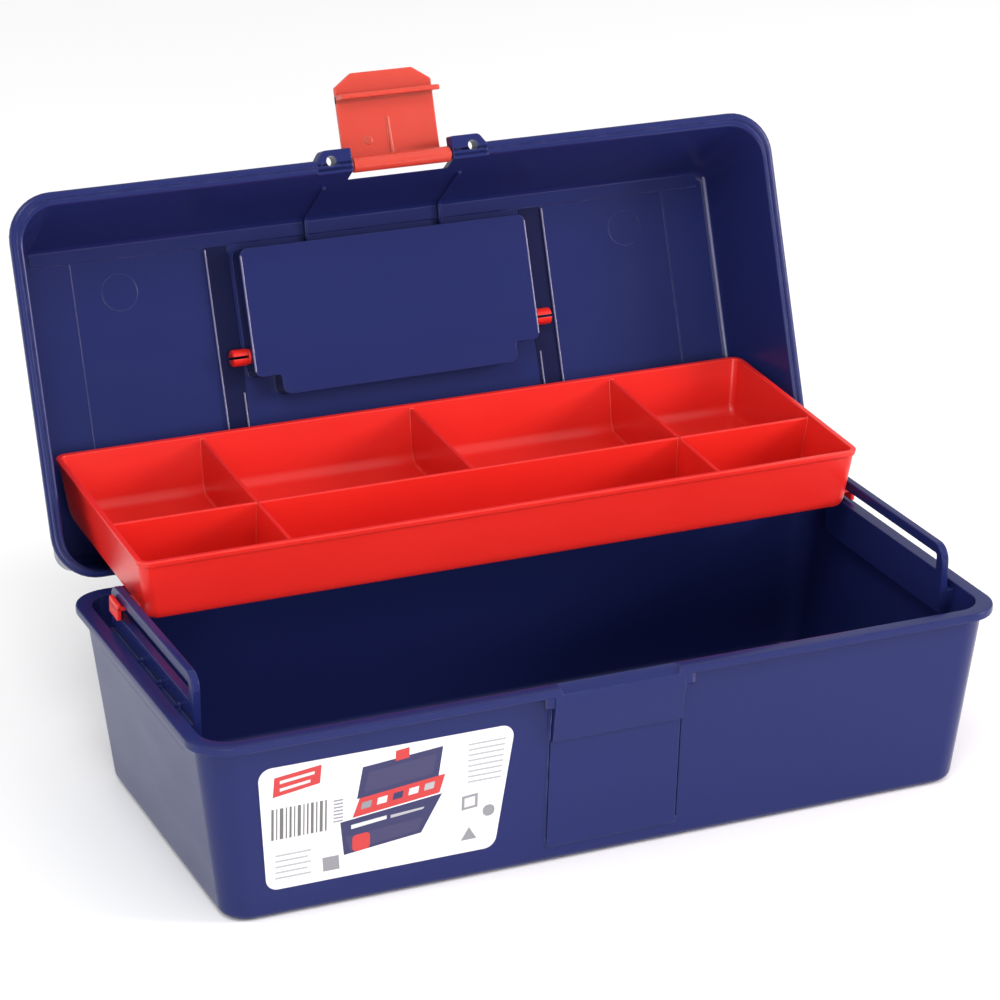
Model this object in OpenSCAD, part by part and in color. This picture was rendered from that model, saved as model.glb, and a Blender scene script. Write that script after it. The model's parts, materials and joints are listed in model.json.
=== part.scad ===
// Hand toolbox: a tub, a hinged lid with a front latch and a folding handle, and a sliding tray.
// Millimetres. +X runs along the length, +Y to the hinge side, +Z up.
// The origin is the centre of the tub's underside. The lid is open and the tray is slid back.

/* [Tub] */
// Length of the tub over its rim
tub_l = 310; // [300:1:320]
// Width of the tub over its rim, front to back
tub_w = 145; // [143:1:149]
// Height of the tub to the top of its rim
tub_h = 70; // [68:1:74]
// Thickness of the tub's and the lid's walls
wall = 2.2; // [1.8:0.1:2.4]
// Thickness of the tub's floor
floor_t = 2.5; // [2:0.1:4]
// Thickness of the rim flange
rim_t = 3; // [2.5:0.1:4]
// How far each end wall leans out from the foot to the rim
end_draft = 8.4; // [6:0.2:10]
// How far the front and back walls lean out from the foot to the rim
side_draft = 3.8; // [2:0.2:5]

/* [Lid] */
// Height of the lid above its rim plane
lid_h = 42.2; // [41.8:0.1:44]
// Angle between the closed lid and the open lid
lid_open = 110; // [100:1:112]
// How far the front wall leans in from rim to ceiling
lid_front_lean = 15.5; // [12:0.5:16]
// How far each end wall leans in from rim to ceiling
lid_end_lean = 8; // [6:0.5:9]

/* [Tray] */
// Length of the tray over its rim
tray_l = 287.6; // [280:0.2:288]
// Width of the tray, front to back
tray_w = 101; // [96:1:102]
// Height of the tray
tray_h = 23.2; // [20:0.2:23.4]
// Slope of the tray when the lid is open
tray_tilt = 3; // [2:0.5:3.5]
// Distance from the front rim to the long divider
front_row = 38; // [30:1:45]

/* [Latch] */
// Width of the latch plate
latch_w = 39.6; // [34:0.2:40]
// Diameter of the latch barrel
barrel_d = 6; // [5:0.1:6]

/* [Handle] */
// Width of the handle over its arms
handle_w = 114; // [100:1:114]
// Diameter of the handle pivots
pivot_d = 6; // [4:0.1:6]
// Thickness of the grip
grip_t = 8; // [6:0.5:8]

/* [Hinges and label] */
// Diameter of the hinge pins
pin_d = 3; // [2:0.1:3.2]
// Distance of each hinge from the middle
hinge_x = 95; // [70:1:110]
// Thickness of the label
label_t = 0.3; // [0.2:0.05:0.4]

/* [Hidden] */
$fn = 48;
navy = "#2b2b63";
red = "#dd2a22";

// Play between a turning pin and its hole, measured on the radius
running_play = 0.05;
// Gap between the closed lid's rim and the tub's rim
rim_gap = 0.3;

// Tub
rim_lip = 3.4;
wall_top_x = tub_l / 2 - rim_lip;
wall_top_y = tub_w / 2 - rim_lip;
wall_top_z = tub_h - rim_t;
tub_foot_r = 10;
tub_r_gain = 2;
tub_edge_r = 3;
rim_r = 14;
catch_half = 25;
catch_low_z = 49;
catch_face_low = tub_w / 2 - 2.3;
catch_slope = 5;
catch_pad = 0.8;
pad_low_z = 6;
relief_half = 23;
relief_drop = 2;
rail_in = 143.7;
rail_out = 146.7;
rail_mid = (rail_in + rail_out) / 2;
rail_half = 44;
rail_top = 84.8;
rail_foot = 58;
rail_r = 6;
slot_half = 40;
slot_low = 74.8;
slot_high = 81;

// Hinge axis, and the lengths of its knuckles
axis_y = tub_w / 2 + 2.56;
axis_z = tub_h - 0.8;
knuckle_r = 3.2;
lid_knuckle_l = 12;
tub_knuckle_l = 8;
tub_arm_l = 7;
knuckle_gap = 0.5;
hinge_pin_l = lid_knuckle_l + 2 * (knuckle_gap + tub_knuckle_l);

// Lid, in its own closed frame: y = 0 is the middle of its rim and z = 0 is the rim plane
lid_hx = tub_l / 2 + 1;
lid_hy = tub_w / 2 - 1.5;
lid_y = 0.5;
lid_z = tub_h + rim_gap;
lid_axis_y = axis_y - lid_y;
lid_axis_z = axis_z - lid_z;
lid_rim_r = 17;
lid_inner_x = lid_hx - 4.5;
lid_inner_front = lid_hy - 5;
lid_inner_back = lid_hy - 2.6;
lid_back_lean = 0.8;
lid_inner_r = 14;
lid_r_loss = 9;
lid_edge_r = 4;
lid_skin = wall - 0.15;
ceiling = lid_h - wall;
ceiling_step = 0.9;
border_front = -lid_hy + 26;
panel_x = 124;
recess_x = 57.5;
recess_front = -40.3;
recess_back = 12.8;
recess_notch_x = 47;
recess_notch_y = 5;
recess_floor = 32.7;
recess_roof = 31;

// Latch barrel and handle pivot, in the lid's closed frame
barrel_y = -lid_hy + 3;
barrel_z = 3;
notch_half = 20.6;
notch_depth = 8;
notch_h = 13;
lug_half = 35;
lug_front = -lid_hy - 3.5;
lug_back = -lid_inner_front + 0.5;
lug_r = 3;
lug_h = 6;
eye_x = 29;
eye_y = -lid_hy + 0.7;
eye_d = 4;
stub_d = 3.1;
stub_l = 3;
stub_gap = 0.3;
pivot_y = -1.4;
pivot_z = 36.3;

// Latch plate, measured from the barrel's axis with the plate pointing along -y
plate_off = 8;
plate_t = 2;
plate_start = 0.6;
web_t = 2.4;
ledge_at = 25.1;
ledge_t = 1.9;
ledge_tip = 1.7;
tab_end = 35;
tab_half = 12.5;
tab_corner = 5;

// Handle, folded flat, measured from the pivot's axis towards -y
arm_w = 6.5;
arm_r = 3.3;
grip_far = 37.4;
head_r = 3.3;
head_l = 7;
head_start = recess_x + wall + 0.4;

// Tray, in its own frame: y = 0, z = 0 is the front edge of its rim
tray_y = 19;
tray_z = 100.5;
tray_wall = 1.6;
tray_lip = 0.7;
tray_lip_h = 2.2;
tray_foot_x = 140;
tray_foot_front = 1;
tray_foot_back = 5;
tray_foot_r = 4;
tray_r = 4;
divider_t = 1.5;
divider_drop = 1.2;
divider_x = 85.7;
hook_y = 10.3;
hook_l = 9;
hook_t = 1.4;
hook_in = 139.2;
hook_lip_in = 147.1;
hook_lip_out = 148.9;
hook_top = -20.8;
hook_lip_top = -19.6;
hook_lip_low = -26;

// Label, in the front wall's plane
label_top_z = 58.5;
label_low_z = 11;
label_top = [-133, -38.5];
label_low = [-129.5, -45];
label_r = 4;

// A round-cornered loop of points: half length hx, from y0 to y1, corner radius r, height z
function loop(hx, y0, y1, r, z) = [
    for (c = [[hx - r, y0 + r, -90], [hx - r, y1 - r, 0], [r - hx, y1 - r, 90], [r - hx, y0 + r, 180]])
        for (i = [0:8])
            let (a = c[2] + 90 * i / 8)
                [c[0] + r * cos(a), c[1] + r * sin(a), z]
];

function flat(points) = [for (p = points) [p[0], p[1]]];

// A closed solid through a stack of loops with the same number of points
module loft(loops) {
    n = len(loops[0]);
    last = len(loops) - 1;
    polyhedron(
        points = [for (one = loops) each one],
        faces = concat(
            [[for (i = [0:n - 1]) i]],
            [for (k = [0:last - 1]) for (i = [0:n - 1])
                [k * n + i, (k + 1) * n + i, (k + 1) * n + (i + 1) % n, k * n + (i + 1) % n]],
            [[for (i = [n - 1:-1:0]) last * n + i]]
        ),
        convexity = 4
    );
}

module round_plate(hx, hy, r, z0, z1) {
    translate([0, 0, z0])
        linear_extrude(z1 - z0)
            polygon(flat(loop(hx, -hy, hy, r, 0)));
}

// A bar along X with its profile in the YZ plane
module along_x(x0, x1) {
    translate([x0, 0, 0])
        rotate([90, 0, 90])
            linear_extrude(x1 - x0)
                children();
}

module rod_x(x0, x1, y, z, r) {
    translate([x0, y, z])
        rotate([0, 90, 0])
            cylinder(h = x1 - x0, r = r);
}

// ---------------------------------------------------------------- tub

function tub_loop(z, inset) =
    let (hx = wall_top_x - end_draft * (1 - z / wall_top_z) - inset,
        hy = wall_top_y - side_draft * (1 - z / wall_top_z) - inset)
        loop(hx, -hy, hy, max(tub_foot_r + tub_r_gain * z / wall_top_z - inset, 2), z);

function tub_front(z) = wall_top_y - side_draft * (1 - z / wall_top_z);

module tub_shell() {
    edge = tub_edge_r;
    difference() {
        union() {
            loft(concat(
                [for (a = [0:22.5:67.5]) tub_loop(edge * (1 - cos(a)), edge * (1 - sin(a)))],
                [tub_loop(edge, 0), tub_loop(tub_h - 0.5, 0)]
            ));
            round_plate(tub_l / 2, tub_w / 2, rim_r, wall_top_z, tub_h);
            latch_catch();
        }
        loft(concat(
            [for (a = [0:30:60]) tub_loop(floor_t + edge * (1 - cos(a)), wall + edge * (1 - sin(a)))],
            [tub_loop(floor_t + edge, wall), tub_loop(tub_h + 1, wall)]
        ));
        rim_relief();
        for (side = [-1, 1])
            lid_knuckle_room(side * hinge_x);
    }
}

// The raised pad on the front wall, with the catch that the latch hooks under
module latch_catch() {
    along_x(-catch_half, catch_half)
        polygon([
            [-tub_front(catch_low_z) + 1, catch_low_z],
            [-catch_face_low, catch_low_z],
            [-tub_w / 2, wall_top_z - catch_slope],
            [-tub_w / 2, tub_h - 0.5],
            [-tub_front(wall_top_z) + 1, tub_h - 0.5]
        ]);
    along_x(-catch_half, catch_half)
        polygon([
            [-tub_front(pad_low_z) + 1, pad_low_z],
            [-tub_front(pad_low_z) - catch_pad, pad_low_z + 1],
            [-tub_front(catch_low_z) - catch_pad, catch_low_z + 1],
            [-tub_front(catch_low_z) + 1, catch_low_z + 1]
        ]);
}

// The rim slopes down towards the front over the catch
module rim_relief() {
    inner = wall_top_y - 0.5;
    along_x(-relief_half, relief_half)
        polygon([
            [-tub_w / 2 - 1, tub_h - relief_drop],
            [-tub_w / 2, tub_h - relief_drop],
            [-inner, tub_h],
            [-inner, tub_h + 1],
            [-tub_w / 2 - 1, tub_h + 1]
        ]);
}

module lid_knuckle_room(x) {
    half = lid_knuckle_l / 2 + knuckle_gap;
    rod_x(x - half, x + half, axis_y, axis_z, knuckle_r + knuckle_gap);
}

// One slotted rail for the tray's hooks; side is -1 for the left end and 1 for the right end
module rail(side) {
    mirror([side < 0 ? 1 : 0, 0, 0]) {
        difference() {
            along_x(rail_in, rail_out)
                union() {
                    translate([-rail_half, rail_foot])
                        square([2 * rail_half, rail_top - rail_r - rail_foot]);
                    translate([-rail_half + rail_r, rail_foot])
                        square([2 * (rail_half - rail_r), rail_top - rail_foot]);
                    for (y = [-1, 1])
                        translate([y * (rail_half - rail_r), rail_top - rail_r])
                            circle(r = rail_r);
                }
            along_x(rail_in - 1, rail_out + 1)
                translate([-slot_half, slot_low])
                    square([2 * slot_half, slot_high - slot_low]);
        }
        translate([rail_mid, -rail_half, rail_foot])
            cube([wall_top_x - wall / 2 - rail_mid, 2 * rail_half, wall_top_z - rail_foot]);
    }
}

// The two tub knuckles of the hinge at x, with the hole that holds its pin
module tub_hinge(x) {
    gap = lid_knuckle_l / 2 + knuckle_gap;
    difference() {
        for (start = [x - gap - tub_knuckle_l, x + gap]) {
            rod_x(start, start + tub_knuckle_l, axis_y, axis_z, knuckle_r);
            along_x(start, start + tub_knuckle_l)
                polygon([
                    [wall_top_y - 1, wall_top_z - tub_arm_l],
                    [axis_y - 0.5, axis_z - knuckle_r + 0.02],
                    [axis_y - 0.5, axis_z],
                    [wall_top_y - 1, axis_z]
                ]);
        }
        rod_x(x - hinge_pin_l, x + hinge_pin_l, axis_y, axis_z, pin_d / 2);
    }
}

module tub() {
    color(navy) {
        tub_shell();
        rail(-1);
        rail(1);
        tub_hinge(-hinge_x);
        tub_hinge(hinge_x);
    }
}

// ---------------------------------------------------------------- lid

// Turns something made on the closed lid to the open position
module opened() {
    translate([0, axis_y, axis_z])
        rotate([-lid_open, 0, 0])
            translate([0, -lid_axis_y, -lid_axis_z])
                children();
}

// A loop of the lid's hollow at height z, grown outwards by grow
function lid_loop(z, grow) =
    let (t = z / ceiling)
        loop(
            lid_inner_x - lid_end_lean * t + grow,
            -lid_inner_front + lid_front_lean * t - grow,
            lid_inner_back - lid_back_lean * t + grow,
            lid_inner_r - lid_r_loss * t + grow, z
        );

module lid_shell() {
    edge = lid_edge_r;
    skin = lid_skin;
    difference() {
        union() {
            round_plate(lid_hx, lid_hy, lid_rim_r, 0, rim_t);
            loft(concat(
                [lid_loop(0.5, skin), lid_loop(lid_h - edge, skin)],
                [for (a = [22.5:22.5:90]) lid_loop(lid_h - edge * (1 - sin(a)), skin - edge * (1 - cos(a)))]
            ));
        }
        lid_hollow();
    }
}

module lid_hollow() {
    difference() {
        loft(concat(
            [lid_loop(-1, 0), lid_loop(ceiling - 3, 0)],
            [lid_loop(ceiling - 0.8, -0.8), lid_loop(ceiling, -3)]
        ));
        translate([0, 0, ceiling - ceiling_step])
            ceiling_border();
    }
}

// The ceiling is thicker in front of the panel and beside it
module ceiling_border() {
    linear_extrude(2 * ceiling_step)
        difference() {
            square([2 * lid_hx, 2 * lid_hy], center = true);
            translate([-panel_x, border_front])
                square([2 * panel_x, 2 * lid_hy]);
        }
}

// Outline of the handle recess, grown by grow
module recess_outline(grow) {
    polygon([
        [-recess_x - grow, recess_front - grow],
        [recess_x + grow, recess_front - grow],
        [recess_x + grow, recess_notch_y + grow],
        [recess_notch_x + grow, recess_notch_y + grow],
        [recess_notch_x + grow, recess_back + grow],
        [-recess_notch_x - grow, recess_back + grow],
        [-recess_notch_x - grow, recess_notch_y + grow],
        [-recess_x - grow, recess_notch_y + grow]
    ]);
}

// The padlock lugs on both sides of the latch, each with one rounded corner
module lid_lugs() {
    for (side = [-1, 1])
        mirror([side < 0 ? 1 : 0, 0, 0])
            linear_extrude(lug_h)
                union() {
                    translate([notch_half, lug_front])
                        square([lug_half - lug_r - notch_half, lug_back - lug_front]);
                    translate([notch_half, lug_front + lug_r])
                        square([lug_half - notch_half, lug_back - lug_front - lug_r]);
                    translate([lug_half - lug_r, lug_front + lug_r])
                        circle(r = lug_r);
                }
}

module lid_knuckle(x) {
    half = lid_knuckle_l / 2;
    back = lid_hy - 1;
    rod_x(x - half, x + half, lid_axis_y, lid_axis_z, knuckle_r);
    along_x(x - half, x + half)
        polygon([
            [back, 0.4],
            [back, rim_t + 1],
            [lid_axis_y, lid_axis_z + knuckle_r - 0.02],
            [lid_axis_y, lid_axis_z + 1]
        ]);
}

module closed_lid() {
    difference() {
        union() {
            lid_shell();
            translate([0, 0, recess_roof])
                linear_extrude(lid_h - 1 - recess_roof)
                    recess_outline(wall);
            lid_lugs();
            for (side = [-1, 1])
                lid_knuckle(side * hinge_x);
        }
        translate([0, 0, recess_floor])
            linear_extrude(lid_h)
                recess_outline(0);
        translate([-notch_half, -lid_hy - 10, -1])
            cube([2 * notch_half, 10 + notch_depth, 1 + notch_h]);
        rod_x(-notch_half - stub_l - stub_gap, notch_half + stub_l + stub_gap, barrel_y, barrel_z,
            stub_d / 2 + running_play);
        for (side = [-1, 1])
            translate([side * eye_x, eye_y, -1])
                cylinder(h = lug_h + 2, r = eye_d / 2);
        rod_x(-recess_x - wall - 1, recess_x + wall + 1, pivot_y, pivot_z, pivot_d / 2 + running_play);
        for (side = [-1, 1])
            rod_x(side * hinge_x - lid_knuckle_l, side * hinge_x + lid_knuckle_l, lid_axis_y,
                lid_axis_z, pin_d / 2 + running_play);
    }
}

module lid() {
    color(navy)
        opened()
            closed_lid();
}

// ---------------------------------------------------------------- latch

// The latch with its barrel's axis at the origin, pointing along -y as it stands on the open lid
module loose_latch() {
    half = latch_w / 2;
    far = plate_off + plate_t;
    rod_x(-half, half, 0, 0, barrel_d / 2);
    rod_x(-notch_half - stub_l, notch_half + stub_l, 0, 0, stub_d / 2);
    along_x(-half, half) {
        polygon([
            [-plate_start, 0],
            [-plate_start, far],
            [-ledge_at - ledge_t, far],
            [-ledge_at - ledge_t, ledge_tip],
            [-ledge_at, ledge_tip],
            [-ledge_at, plate_off],
            [-plate_start - web_t, plate_off],
            [-plate_start - web_t, 0]
        ]);
    }
    translate([0, 0, plate_off])
        linear_extrude(plate_t)
            polygon([
                [-half, -ledge_at],
                [-half, -tab_end + tab_corner],
                [-tab_half, -tab_end],
                [tab_half, -tab_end],
                [half, -tab_end + tab_corner],
                [half, -ledge_at]
            ]);
}

module latch() {
    color(red)
        opened()
            translate([0, barrel_y, barrel_z])
                loose_latch();
}

// ---------------------------------------------------------------- handle

// The folded handle with its pivot's axis at the origin and its grip along -y
module folded_handle() {
    half = handle_w / 2;
    grip_y = -grip_far + grip_t / 2;
    grip_z = -arm_r + grip_t / 2;
    for (side = [-1, 1])
        mirror([side < 0 ? 1 : 0, 0, 0]) {
            rod_x(half - arm_w, half, 0, 0, arm_r);
            translate([half - arm_w, grip_y, -arm_r])
                cube([arm_w, -grip_y, 2 * arm_r]);
            rod_x(half - 1, head_start + head_l, 0, 0, pivot_d / 2);
            rod_x(head_start, head_start + head_l, 0, 0, head_r);
        }
    rod_x(-half, half, grip_y, grip_z, grip_t / 2);
}

module handle() {
    color(red)
        opened()
            translate([0, pivot_y, pivot_z])
                rotate([-90, 0, 0])
                    folded_handle();
}

// ---------------------------------------------------------------- tray

// A loop of the tray's outside at height z from its rim, shrunk by inset.
// round is the share of the foot's rounding, which is full at the back and a quarter elsewhere.
function tray_loop(z, inset, round = 0) =
    let (t = -z / tray_h, edge = inset + round / 4)
        loop(
            tray_l / 2 - tray_lip - (tray_l / 2 - tray_lip - tray_foot_x) * t - edge,
            tray_lip + tray_foot_front * t + edge,
            tray_w - tray_lip - tray_foot_back * t - inset - round,
            max(tray_r - inset, 1), z
        );

// The tray's outside as a solid, shrunk by inset
module tray_block(inset) {
    r = tray_foot_r;
    loft(concat(
        [for (a = [0:30:60]) tray_loop(inset - tray_h + r * (1 - cos(a)), inset, r * (1 - sin(a)))],
        [tray_loop(inset - tray_h + r, inset), tray_loop(0, inset)]
    ));
}

module tray_shell() {
    difference() {
        union() {
            tray_block(0);
            translate([0, 0, -tray_lip_h])
                linear_extrude(tray_lip_h)
                    polygon(flat(loop(tray_l / 2, 0, tray_w, tray_r + tray_lip, 0)));
        }
        difference() {
            union() {
                tray_block(tray_wall);
                translate([0, 0, -1])
                    linear_extrude(2)
                        polygon(flat(tray_loop(0, tray_wall)));
            }
            dividers();
        }
    }
}

// A wall across the tray from its floor to just below its rim, centred on x, y
module divider(x, y, length_x, length_y) {
    translate([x - length_x / 2, y - length_y / 2, -tray_h])
        cube([length_x, length_y, tray_h - divider_drop]);
}

module dividers() {
    for (x = [-divider_x, divider_x])
        divider(x, tray_w / 2, divider_t, tray_w);
    divider(0, (tray_w + front_row) / 2, divider_t, tray_w - front_row);
    divider(0, front_row, tray_l, divider_t);
}

module tray_hook(side) {
    mirror([side < 0 ? 1 : 0, 0, 0]) {
        translate([hook_in, hook_y, hook_top - hook_t])
            cube([hook_lip_out - hook_in, hook_l, hook_t]);
        translate([hook_lip_in, hook_y, hook_lip_low])
            cube([hook_lip_out - hook_lip_in, hook_l, hook_lip_top - hook_lip_low]);
    }
}

module tray() {
    color(red)
        translate([0, tray_y, tray_z])
            rotate([tray_tilt, 0, 0]) {
                tray_shell();
                tray_hook(-1);
                tray_hook(1);
            }
}

// ---------------------------------------------------------------- hinge pins and label

module hinge_pin(x) {
    color("silver")
        rod_x(x - hinge_pin_l / 2, x + hinge_pin_l / 2, axis_y, axis_z, pin_d / 2);
}

module label() {
    lean = atan(side_draft / wall_top_z);
    color("white")
        translate([0, -tub_front(0), 0])
            rotate([90 + lean, 0, 0])
                linear_extrude(label_t)
                    polygon([
                        [label_low[0] + label_r, label_low_z],
                        [label_low[1] - label_r, label_low_z],
                        [label_low[1], label_low_z + label_r],
                        [label_top[1], label_top_z - label_r],
                        [label_top[1] - label_r, label_top_z],
                        [label_top[0] + label_r, label_top_z],
                        [label_top[0], label_top_z - label_r],
                        [label_low[0], label_low_z + label_r]
                    ]);
}

tub();
lid();
tray();
latch();
handle();
hinge_pin(-hinge_x);  // hinge_pin_left
hinge_pin(hinge_x);  // hinge_pin_right
label();
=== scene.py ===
"""Looks of the toolbox with tray. Shapes are built in millimetres, and each piece is turned into metres."""
import json
from math import atan2, cos, pi, radians, sin, tan

import bmesh
import bpy
from mathutils import Matrix, Vector


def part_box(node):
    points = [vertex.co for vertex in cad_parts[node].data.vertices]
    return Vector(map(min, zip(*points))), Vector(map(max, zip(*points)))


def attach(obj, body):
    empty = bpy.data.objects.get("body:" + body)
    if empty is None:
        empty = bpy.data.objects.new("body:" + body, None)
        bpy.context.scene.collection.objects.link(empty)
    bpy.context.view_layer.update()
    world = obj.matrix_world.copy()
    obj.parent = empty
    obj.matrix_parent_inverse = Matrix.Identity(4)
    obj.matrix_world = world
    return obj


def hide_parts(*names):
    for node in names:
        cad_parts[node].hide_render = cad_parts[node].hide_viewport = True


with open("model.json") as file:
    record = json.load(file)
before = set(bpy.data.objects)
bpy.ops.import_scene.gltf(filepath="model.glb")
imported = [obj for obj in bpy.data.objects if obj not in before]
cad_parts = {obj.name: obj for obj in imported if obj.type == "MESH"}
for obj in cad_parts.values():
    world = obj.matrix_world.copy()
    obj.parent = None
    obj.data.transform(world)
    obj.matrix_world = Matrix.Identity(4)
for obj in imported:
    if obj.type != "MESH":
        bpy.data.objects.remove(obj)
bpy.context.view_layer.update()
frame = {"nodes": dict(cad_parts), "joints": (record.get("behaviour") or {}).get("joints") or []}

# ------------------------------------------------------------------ sizes, in millimetres
MM = 0.001
SIDES = ((-1, "left"), (1, "right"))
joints = {j["name"]: j for j in frame["joints"]}


def node_box(name):
    """Lowest and highest corners of a CAD node at rest."""
    low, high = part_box(name)
    return low / MM, high / MM


tub_low, tub_high = node_box("tub")
lid_high = node_box("lid")[1]
tray_low, tray_high = node_box("tray")
hinge = Vector(joints["lid_hinge"]["pos_m"]) / MM
LID_OPEN = joints["lid_hinge"]["range_deg"][1]
slide = joints["tray_slide"]["axis"]

# Tub: walls with draft, rim flange, latch catch with the pad below it, slotted rails
WALL = 2.2
FLOOR = 2.5
RIM_X = tub_high.x
RIM_Y = -tub_low.y
RIM_Z = hinge.z + 0.8
RIM_T = 3.0
RIM_R = 14.0
WALL_X = RIM_X - 3.4
WALL_Y = RIM_Y - 3.4
WALL_Z = RIM_Z - RIM_T
WALL_R = 12.0
FOOT_R = 10.0
EDGE_R = 3.0
END_DRAFT = 8.4
SIDE_DRAFT = 3.8
CATCH = 25.0
CATCH_Z = 49.0
CATCH_STEP = 2.3
CATCH_DROP = 2.2
PAD_Z = 7.0
PAD_OUT = 0.8
RAIL_IN = 143.7
RAIL_OUT = 146.7
RAIL_HALF = 44.0
RAIL_LOW = 58.0
RAIL_TOP = tub_high.z
SLOT_HALF = 40.0
SLOT_LOW = 74.8
SLOT_TOP = 81.0
KNUCKLE = 3.2
KNUCKLE_GAP = 0.02
HINGE_X = 95.0
HINGE_ROOM = 6.5

# Lid, in its closed frame: its rim's underside is z 0
LID_X = lid_high.x
LID_Y = RIM_Y - 1.5
LID_H = 42.2
LID_MID = 0.5
LID_BASE = RIM_Z + 0.3
LID_RIM_R = 17.0
LID_END_LEAN = 8.0
LID_FRONT_LEAN = 15.5
LID_BACK_LEAN = 0.8
LID_R = 14.0
LID_R_LOSS = 9.0
LID_EDGE_R = 4.0
CEILING = LID_H - WALL
BORDER_STEP = 0.9
NOTCH = 20.6
NOTCH_H = 13.0
LUG_X = 35.0
LUG_FRONT = -LID_Y - 3.5
EYE_X = 29.0
EYE_R = 2.0
BARREL_Y = -LID_Y + 3
BARREL_Z = 3.0
PIVOT_Y = -1.4
PIVOT_Z = 36.3
PIVOT_R = 3.05
RECESS_X = 57.5
RECESS_FLOOR = 32.7
RECESS_ROOF = 31.0

# Latch, round its barrel's axis, and handle, round its pivots' axis
LATCH_HALF = 19.8
LATCH_NEAR = 8.0
LATCH_FAR = 10.0
ARM_X = 53.75
REACH = 33.4
EYE_ROLL = 3.28

# Tray, in its own level frame
TRAY_X = tray_high.x - 5.1
TRAY_W = 101.0
TRAY_H = 23.2
TRAY_R = 4.0
TRAY_LIP = 0.7
TRAY_WALL = 1.6
TRAY_AT = Vector((0, tray_low.y, 100.5))
TRAY_TILT = atan2(-slide[2], -slide[1])
DIVIDER_X = 85.7
DIVIDER_Y = 38.0
DIVIDER_T = 1.5

# ------------------------------------------------------------------ materials


def new_material(name):
    material = bpy.data.materials.new(name)
    material.use_nodes = True
    nodes = material.node_tree.nodes
    return material, nodes, material.node_tree.links, nodes["Principled BSDF"]


def noise(nodes, links, coords, scale, detail=4.0, stretch=(1, 1, 1)):
    mapping = nodes.new("ShaderNodeMapping")
    mapping.inputs["Scale"].default_value = stretch
    texture = nodes.new("ShaderNodeTexNoise")
    texture.inputs["Scale"].default_value = scale
    texture.inputs["Detail"].default_value = detail
    texture.inputs["Roughness"].default_value = 0.5
    links.new(coords, mapping.inputs["Vector"])
    links.new(mapping.outputs["Vector"], texture.inputs["Vector"])
    return texture.outputs["Fac"]


def spread(nodes, links, value, low, high, to_low, to_high):
    """value from low..high eased into to_low..to_high, and held at the ends."""
    remap = nodes.new("ShaderNodeMapRange")
    remap.interpolation_type = "SMOOTHSTEP"
    remap.inputs["From Min"].default_value = low
    remap.inputs["From Max"].default_value = high
    remap.inputs["To Min"].default_value = to_low
    remap.inputs["To Max"].default_value = to_high
    links.new(value, remap.inputs["Value"])
    return remap.outputs["Result"]


def mixed(nodes, links, factor, colour_a, colour_b):
    """Two colours mixed by factor. Each is a tuple or another node's output."""
    mix = nodes.new("ShaderNodeMix")
    mix.data_type = "RGBA"
    for slot, value in ((6, colour_a), (7, colour_b)):
        if isinstance(value, tuple):
            mix.inputs[slot].default_value = (*value, 1.0)
        else:
            links.new(value, mix.inputs[slot])
    links.new(factor, mix.inputs[0])
    return mix.outputs[2]


def bump(nodes, links, height, distance, strength, below=None):
    node = nodes.new("ShaderNodeBump")
    node.inputs["Distance"].default_value = distance
    node.inputs["Strength"].default_value = strength
    links.new(height, node.inputs["Height"])
    if below is not None:
        links.new(below, node.inputs["Normal"])
    return node.outputs["Normal"]


def moulded_plastic(name, colour, deep, pale, rough, gloss=0.3, glow=0.0, grain=0.5):
    """Injection-moulded polypropylene: faint flow and sink, a fine grain, soft edges, and pale as a painted
    highlight along edges and creases.
    """
    material, nodes, links, shader = new_material(name)
    coords = nodes.new("ShaderNodeTexCoord").outputs["Object"]
    flow = noise(nodes, links, coords, 14.0, 3.0, (1, 2.2, 1))
    tint = mixed(nodes, links, spread(nodes, links, flow, 0.2, 0.8, 0, 1), colour, deep)
    soft = nodes.new("ShaderNodeBevel")
    soft.samples = 6
    soft.inputs["Radius"].default_value = 0.0005
    turn = nodes.new("ShaderNodeVectorMath")
    turn.operation = "DOT_PRODUCT"
    links.new(soft.outputs["Normal"], turn.inputs[0])
    links.new(nodes.new("ShaderNodeNewGeometry").outputs["Normal"], turn.inputs[1])
    # Painted highlight: edges and creases, where the bevel normal turns away from the true normal, are mixed
    # towards pale, broken up by noise.
    edge = spread(nodes, links, turn.outputs["Value"], 0.99, 0.86, 0, 1)
    highlight_breakup = noise(nodes, links, coords, 160.0, 2.0)
    edge_highlight = nodes.new("ShaderNodeMath")
    edge_highlight.operation = "MULTIPLY"
    links.new(edge, edge_highlight.inputs[0])
    links.new(spread(nodes, links, highlight_breakup, 0.35, 0.7, 0.25, 0.9), edge_highlight.inputs[1])
    links.new(mixed(nodes, links, edge_highlight.outputs[0], tint, pale), shader.inputs["Base Color"])
    haze = noise(nodes, links, coords, 30.0, 1.0, (1, 1, 2.5))
    rough_range = spread(nodes, links, haze, 0.15, 0.85, rough - 0.02, rough + 0.03)
    links.new(rough_range, shader.inputs["Roughness"])
    sink = bump(nodes, links, noise(nodes, links, coords, 22.0, 0.0), 0.0006, 0.15, soft.outputs["Normal"])
    fine = bump(nodes, links, noise(nodes, links, coords, 900.0, 1.0), 0.00002, grain, sink)
    links.new(fine, shader.inputs["Normal"])
    shader.inputs["IOR"].default_value = 1.49
    shader.inputs["Specular IOR Level"].default_value = gloss
    shader.inputs["Subsurface Weight"].default_value = glow
    shader.inputs["Subsurface Radius"].default_value = (0.004, 0.0012, 0.0008)
    shader.inputs["Subsurface Scale"].default_value = 1.0
    return material


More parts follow.
